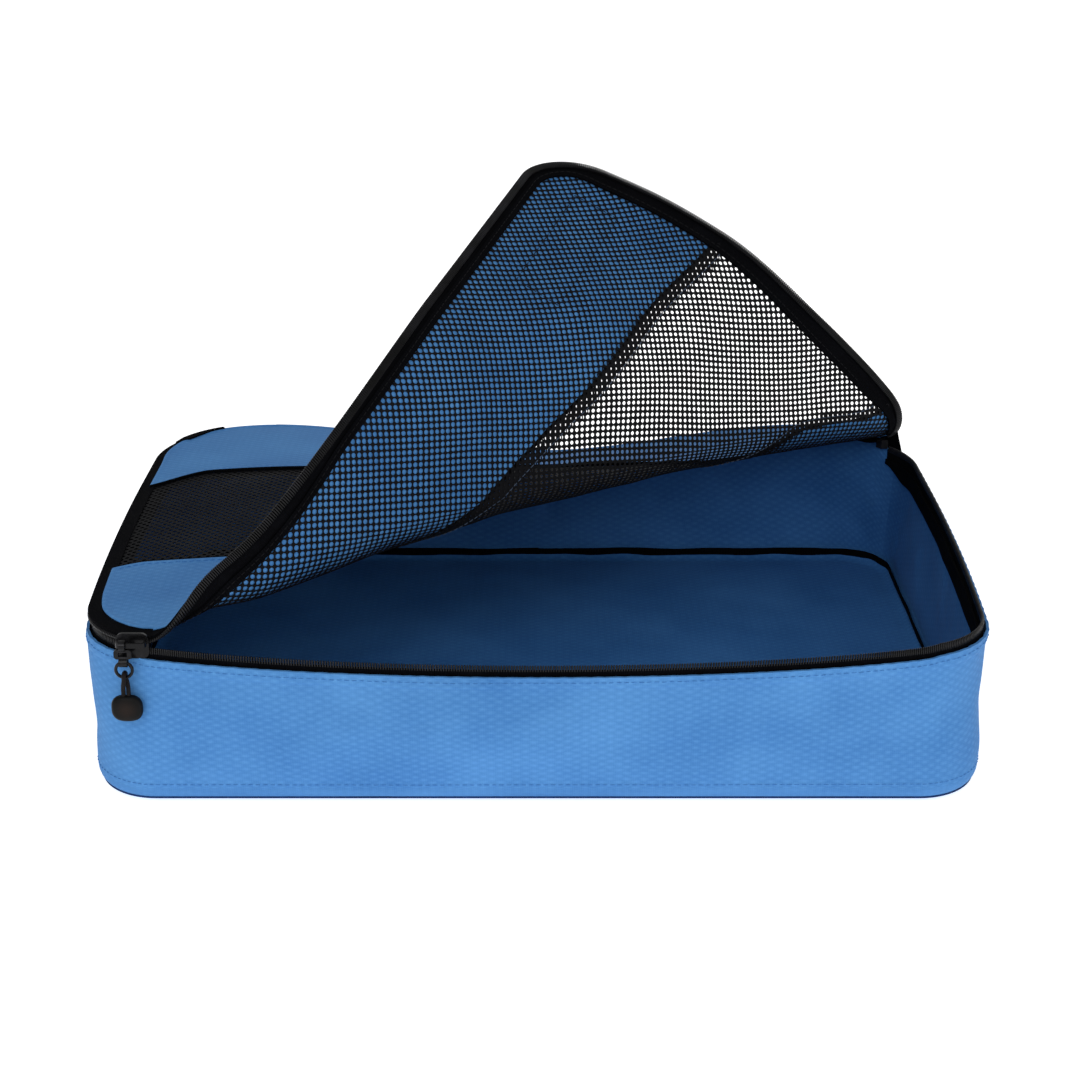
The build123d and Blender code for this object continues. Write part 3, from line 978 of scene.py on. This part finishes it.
def panel(name, y_low, y_high, seam, near, far):
    """One of the lid's two cloth panels, with turned edges, along its seam."""
    rows = edge_steps(y_high - y_low, 30) / (y_high - y_low)
    share = edge_steps(2 * HALF_X, 150) / HALF_X - 1
    outer = y_low if seam is front_seam_y else y_high
    towards = rows[:, None] if seam is front_seam_y else 1 - rows[:, None]
    y = (y_low + rows * (y_high - y_low))[:, None] + 0 * share
    for _ in range(SETTLING_ROUNDS):
        wide = half_width(y, tape_reach(np.sign(share) * HALF_X, y) - PANEL_UNDER_TAPE)
        y = outer + (seam(share * wide) - outer) * towards
    xy = np.stack([share[None, :] * wide, y], -1).reshape(-1, 2)
    from_side = (1 - np.abs(share))[None, :] * wide
    from_end = (np.minimum(rows, 1 - rows) * (y_high - y_low))[:, None]
    edge = np.minimum(from_side, from_end).ravel()
    high = 0.75 + TURNED_EDGE * (ease(edge / 0.9) - ease((edge - 1.8) / 1.8))
    lid_layer(name, xy, [grid(len(rows), len(share))], 0.05, high, "ripstop", BLUE, near, far)


def net_zone(name, y_low, y_high, near=(), far=(), low=-0.6, shift=0, hole=0.42, cloth=True):
    """A net of diagonal yarns with eight-sided holes, between two lines."""
    half = NET_PITCH / math.sqrt(2)
    cells = np.stack(np.meshgrid(np.arange(-96, 97), np.arange(-68, 69), indexing="ij"), -1).reshape(-1, 2)
    cells = cells[cells.sum(1) % 2 == 0]
    middle = cells * half + shift
    x, y = middle.T
    under_tape = np.maximum(tape_reach(x, y) - 3.5, 3)
    keep = (depth_inside(middle) > under_tape) & (y >= y_low(x)) & (y < y_high(x))
    cells = cells[keep]
    middle = middle[keep]
    around = (cells[:, None, :] + np.array([(1, 0), (0, 1), (-1, 0), (0, -1)])).reshape(-1, 2)
    crossings, corners = np.unique(around, axis=0, return_inverse=True)
    corners = corners.reshape(len(cells), 4)
    size = NET_PITCH * (hole + 0.022 * noise(*middle.T / 5, 41))
    turns = np.radians(22.5 + 45 * np.arange(8))
    ring = np.column_stack([np.cos(turns), np.sin(turns)])
    holes = (middle[:, None, :] + size[:, None, None] * ring[None]).reshape(-1, 2)
    inner = len(crossings) + np.arange(len(holes)).reshape(len(cells), 8)
    tips = []
    sides = []
    for k in range(4):
        tips.append(np.column_stack([corners[:, k], inner[:, 2 * k], inner[:, 2 * k - 1]]))
        after = corners[:, (k + 1) % 4]
        sides.append(np.column_stack([corners[:, k], after, inner[:, 2 * k + 1], inner[:, 2 * k]]))
    xy = np.concatenate([crossings * half + shift, holes])
    x, y = xy.T
    wobble = np.column_stack([noise(x / 31, y / 27, 42), noise(x / 29, y / 33, 43)])
    faces = [np.concatenate(sides), np.concatenate(tips)]
    lid_layer(name, xy + 0.5 * wobble, faces, low, low + NET_THICKNESS, "mesh", NET, near, far, cloth=cloth)


def seam_strip(name, seam, ahead, near, far):
    """The doubled net beside a seam, and the binding over the panel's edge."""
    behind = DOUBLING_WIDTH - ahead
    net_zone(f"{name}_doubling", lambda x: seam(x) - behind, lambda x: seam(x) + ahead, near, far,
             low=-1.2, shift=NET_PITCH / 3, hole=WINDOW_HOLE, cloth=False)
    line = seam_line(seam, np.linspace(-1, 1, 145), PANEL_UNDER_TAPE - 0.2)
    xy, faces = net_of(line[:, 0], np.linspace(-1, 1, 5))
    top = 0.85 + 0.5 * (1 - xy[:, 1] ** 2)
    xy[:, 1] = np.tile(line[:, 1], 5) + xy[:, 1] * EDGING_WIDTH / 2
    lid_layer(f"{name}_edging", xy, faces, -0.2, top, "binding", BINDING, cloth=False)


def seam_line(seam, share, under):
    """Points in plan along a seam, at shares of its half length."""
    y = seam(share * HALF_X)
    x = share * half_width(y, tape_reach(np.sign(share) * HALF_X, y) - under)
    return np.column_stack([x, seam(x)])


def label_patch():
    """A plain rectangle of cloth near the front right corner."""
    half = np.array(PATCH_SIZE) / 2
    xy, faces = net_of(np.linspace(-1, 1, 45) * half[0], np.linspace(-1, 1, 17) * half[1])
    edge = (half - np.abs(xy)).min(1)
    high = 1.1 + 0.55 * ease(edge) - 0.2 * ease((edge - 2) / 2)
    lid_layer("label", xy + PATCH_CENTRE, faces, 0.8, high, "label", LABEL, (), ["label_patch"])
    corners = np.array([(-1, -1), (1, -1), (1, 1), (-1, 1), (-1, -1)]) * (half - 1.8) + PATCH_CENTRE
    sides = [np.linspace(corners[k], corners[k + 1], 60)[k > 0 :] for k in range(4)]
    lid_stitches("label_stitches", np.vstack(sides), 1.5, NAVY_THREAD)
    lid_stitches("label_stitches_inside", np.vstack(sides), -0.62, BLACK_THREAD, -1)


def segment_nodes(layer, flap=True):
    """The CAD nodes of a layer's near and far piece."""
    still, fold, flap_node = (f"lid_{layer}_{part}" for part in ("still", "fold", "flap"))
    return ([still], [fold, flap_node]) if flap else ([still, fold], [])


def build_lid():
    """Net, panels, seams, tape, binding and teeth of the lid."""
    front_y = -HALF_Y + BAND_INSET - 5
    net_zone("net_window", front_seam_y, rear_seam_y, *segment_nodes("mesh"), hole=WINDOW_HOLE)
    net_zone("net_front", lambda x: -HALF_Y, front_seam_y)
    net_zone("net_rear", rear_seam_y, lambda x: HALF_Y)
    panel("front_panel", front_y, FRONT_SEAM_Y, front_seam_y, *segment_nodes("front_panel"))
    panel("rear_panel", REAR_SEAM_Y, HALF_Y - 0.8, rear_seam_y, *segment_nodes("rear_panel", False))
    seam_strip("front_seam", front_seam_y, 8, *segment_nodes("front_seam"))
    seam_strip("rear_seam", rear_seam_y, 1, *segment_nodes("rear_seam", False))
    lid_ring("lid_tape", 0, band_inset, lambda u: 2.0 - 1.1 * outline(u)[1][:, 0] ** 2,
             -0.85, 0.35, "zipper_tape", TAPE, *segment_nodes("zipper_tape"))
    lid_ring("lid_binding", 6, lambda u: band_inset(u) + 1.2, lambda u: band_inset(u) - 3.2,
             -2.1, -0.9, "binding", BINDING, *segment_nodes("edge_binding"))
    lid_teeth()
    label_patch()
    u = np.linspace(ZIP_START + 60, ZIP_END - 60, 900)
    lid_stitches("band_stitches_inside", outline(u, band_inset(u) - 1.4)[0], -2.15, BLACK_THREAD, -1)
    for where, seam, side in (("front", front_seam_y, -1), ("rear", rear_seam_y, 1)):
        path = seam_line(seam, np.linspace(-1, 1, 400), -1)
        lid_stitches(f"{where}_seam_stitches", path + (0, side * 3), 0.85, BLUE_THREAD)
        lid_stitches(f"{where}_seam_stitches_inside", path - (0, side * 7), -1.25, PALE_THREAD, -1)
    build_hinge()


def build_hinge():
    """The sewn back edge: piping outside and bound seam inside."""
    stop = ZIP_START - 3

    def ridge(u):
        return lid_place(outline(u, 0.7)[0], np.full(len(u), -0.2))

    def inside(params, depth):
        plan = outline(params[:, 0], 2.6 + 8 * params[:, 1])[0]
        return lid_place(plan, -2.6 + depth - 1.2 * params[:, 1])

    tube_along("hinge_piping", ridge, -stop, stop, 1.0, 2.5, BLUE)
    strip("hinge_binding_inside", -stop, stop, inside, "binding", BINDING, ["hinge_binding"])


def build_end_tabs():
    """Soft tabs over both ends of the zipper, from the lid down the wall."""
    before = 28
    after = 9
    params, faces = net_of(np.linspace(-before, after, 16), np.linspace(0, 1, 25))
    for side, middle, turn in (("left", ZIP_START, 1), ("right", ZIP_END, -1)):

        def place(params, depth):
            u = middle + turn * params[:, 0]
            end = ease((params[:, 0] - 1) / 8)
            full = (1 - 0.5 * ease(-params[:, 0] / before)) * (1 - 0.6 * end)
            inset = 0.6 + 6 * full * np.clip(1 - 2.2 * params[:, 1], 0, 1)
            over = lid_place(outline(u, inset)[0], 2.0 - 0.9 * end - depth)
            fall = 1 - 0.15 * full * np.clip(params[:, 1] * 2 - 1, 0, 1)
            down = wall_place(np.column_stack([u, fall]), depth - 1.5)
            share = ease((params[:, 1] - 0.4) / 0.25)[:, None]
            return over * (1 - share) + down * share

        piece = slab(f"end_tab_{side}", params, faces, 0.8, 0, place, 18)
        finished(piece, "binding", BINDING, "bag_body", ["zipper_end_tabs"])
        merge_poles(piece)


# ---- slider and pull


def cad_finish(node, material):
    """Gives a CAD node that stays its own finished material."""
    part = frame["nodes"][node]
    part.data.materials.clear()
    part.data.materials.append(material)


def build_knob():
    """The moulded knob: a rounded pad with dished faces."""
    low, high = node_box("pull_knob")
    rings = 30
    sides = 48
    tilt = np.repeat(math.pi * np.arange(rings + 1) / rings, sides)
    turn = np.tile(2 * math.pi * np.arange(sides) / sides, rings + 1)
    x, y, z = np.sin(tilt) * np.cos(turn), np.cos(tilt), np.sin(tilt) * np.sin(turn)
    face = 2.7
    edge = 2.4
    plan = (np.abs(x) ** face + np.abs(z) ** face) ** (1 / face)
    scale = 1 / (plan**edge + np.abs(y) ** edge) ** (1 / edge)
    dish = 1 - 0.14 * np.maximum(0, np.abs(y) * scale - 0.6) / 0.4
    points = (low + high) / 2 + (high - low) / 2 * np.column_stack([x, y * dish, z]) * scale[:, None]
    piece = mesh_object("knob", points, [grid(rings + 1, sides, closed=True)], flat_from=180)
    merge_poles(piece)
    return finished(piece, "knob", KNOB, "pull_cord", ["pull_knob"])


def merge_poles(piece):
    """Joins the points that lie on each other."""
    work = bmesh.new()
    work.from_mesh(piece.data)
    bmesh.ops.remove_doubles(work, verts=work.verts, dist=1e-6)
    bmesh.ops.recalc_face_normals(work, faces=work.faces)
    work.to_mesh(piece.data)
    work.free()
    piece.data.shade_smooth()


def build_cord(knob):
    """The doubled cord: up from the knob, over the ring's wire and back down."""
    low, high = node_box("pull_ring")
    x, y, _ = (low + high) / 2
    loop = 2.1
    way_up = [(1.2, 0, 57.5), (1.2, 0, 63.0), (0.9, 1.5, 67.3), (0, loop, 70.8), (0, loop, 73.9)]
    route = [(x - a, y - b, z) for a, b, z in way_up] + [(x + a, y + b, z) for a, b, z in way_up[::-1]]
    curve = bpy.data.curves.new("cord", "CURVE")
    curve.dimensions = "3D"
    curve.resolution_u = 10
    curve.bevel_depth = 1.1 * MM
    curve.bevel_resolution = 5
    spline = curve.splines.new("NURBS")
    spline.points.add(len(route) - 1)
    for point, place in zip(spline.points, route):
        point.co = (*(np.array(place) * MM), 1)
    spline.order_u = 3
    spline.use_endpoint_u = True
    cord = bpy.data.objects.new("cord", curve)
    bpy.context.scene.collection.objects.link(cord)
    finished(cord, "cord", CORD, "pull_cord", ["pull_cord"])


def build_pull():
    """The slider, its bridge, tab, ring, cord and knob."""
    for node in ("slider_body", "slider_bridge", "pull_tab", "pull_ring"):
        cad_finish(node, METAL)
    build_cord(build_knob())


# ---- studio


def build_studio():
    """A white floor, soft lights and a white world."""
    corners = [(-1, -1, 0), (1, -1, 0), (1, 1, 0), (-1, 1, 0)]
    floor = mesh_object("floor", np.array(corners) * FLOOR_REACH, [np.arange(4)[None]])
    floor.location.z = -0.0005
    floor.data.materials.append(stage_material())
    for name, place, aim, size, power in (
        ("key", (-0.5, -1.9, 1.35), (0, 0, 0.08), 1.1, 13),
        ("fill", (1.5, -1.5, 0.8), (0, 0, 0.08), 1.3, 6.5),
        ("rim", (0.2, 1.9, 0.9), (0, 0, 0.1), 1.2, 3.4),
    ):
        lamp = bpy.data.lights.new(name, "AREA")
        lamp.size = size
        lamp.energy = power
        holder = bpy.data.objects.new(name, lamp)
        holder.location = place
        holder.rotation_euler = (Vector(aim) - Vector(place)).to_track_quat("-Z", "Y").to_euler()
        bpy.context.scene.collection.objects.link(holder)
    world = bpy.data.worlds.new("studio")
    world.use_nodes = True
    background = world.node_tree.nodes["Background"]
    background.inputs[0].default_value = (1, 1, 1, 1)
    background.inputs[1].default_value = 0.5
    bpy.context.scene.world = world
    bpy.context.scene.view_settings.view_transform = "Standard"


def build_camera():
    """The camera, straight in front and a little above."""
    elevation = math.radians(21.57)
    distance = 1.0805
    target = Vector((0.00107, 0, 0.0759))
    lens = bpy.data.cameras.new("camera")
    lens.sensor_width = 36
    lens.lens = 65.3
    holder = bpy.data.objects.new("camera", lens)
    holder.location = target + distance * Vector((0, -math.cos(elevation), math.sin(elevation)))
    holder.rotation_euler = (math.pi / 2 - elevation, 0, 0)
    bpy.context.scene.collection.objects.link(holder)
    bpy.context.scene.camera = holder


build_camera()
build_pull()
build_body()
build_lid()
build_end_tabs()
cad_finish("zipper_stops", COIL)
build_studio()
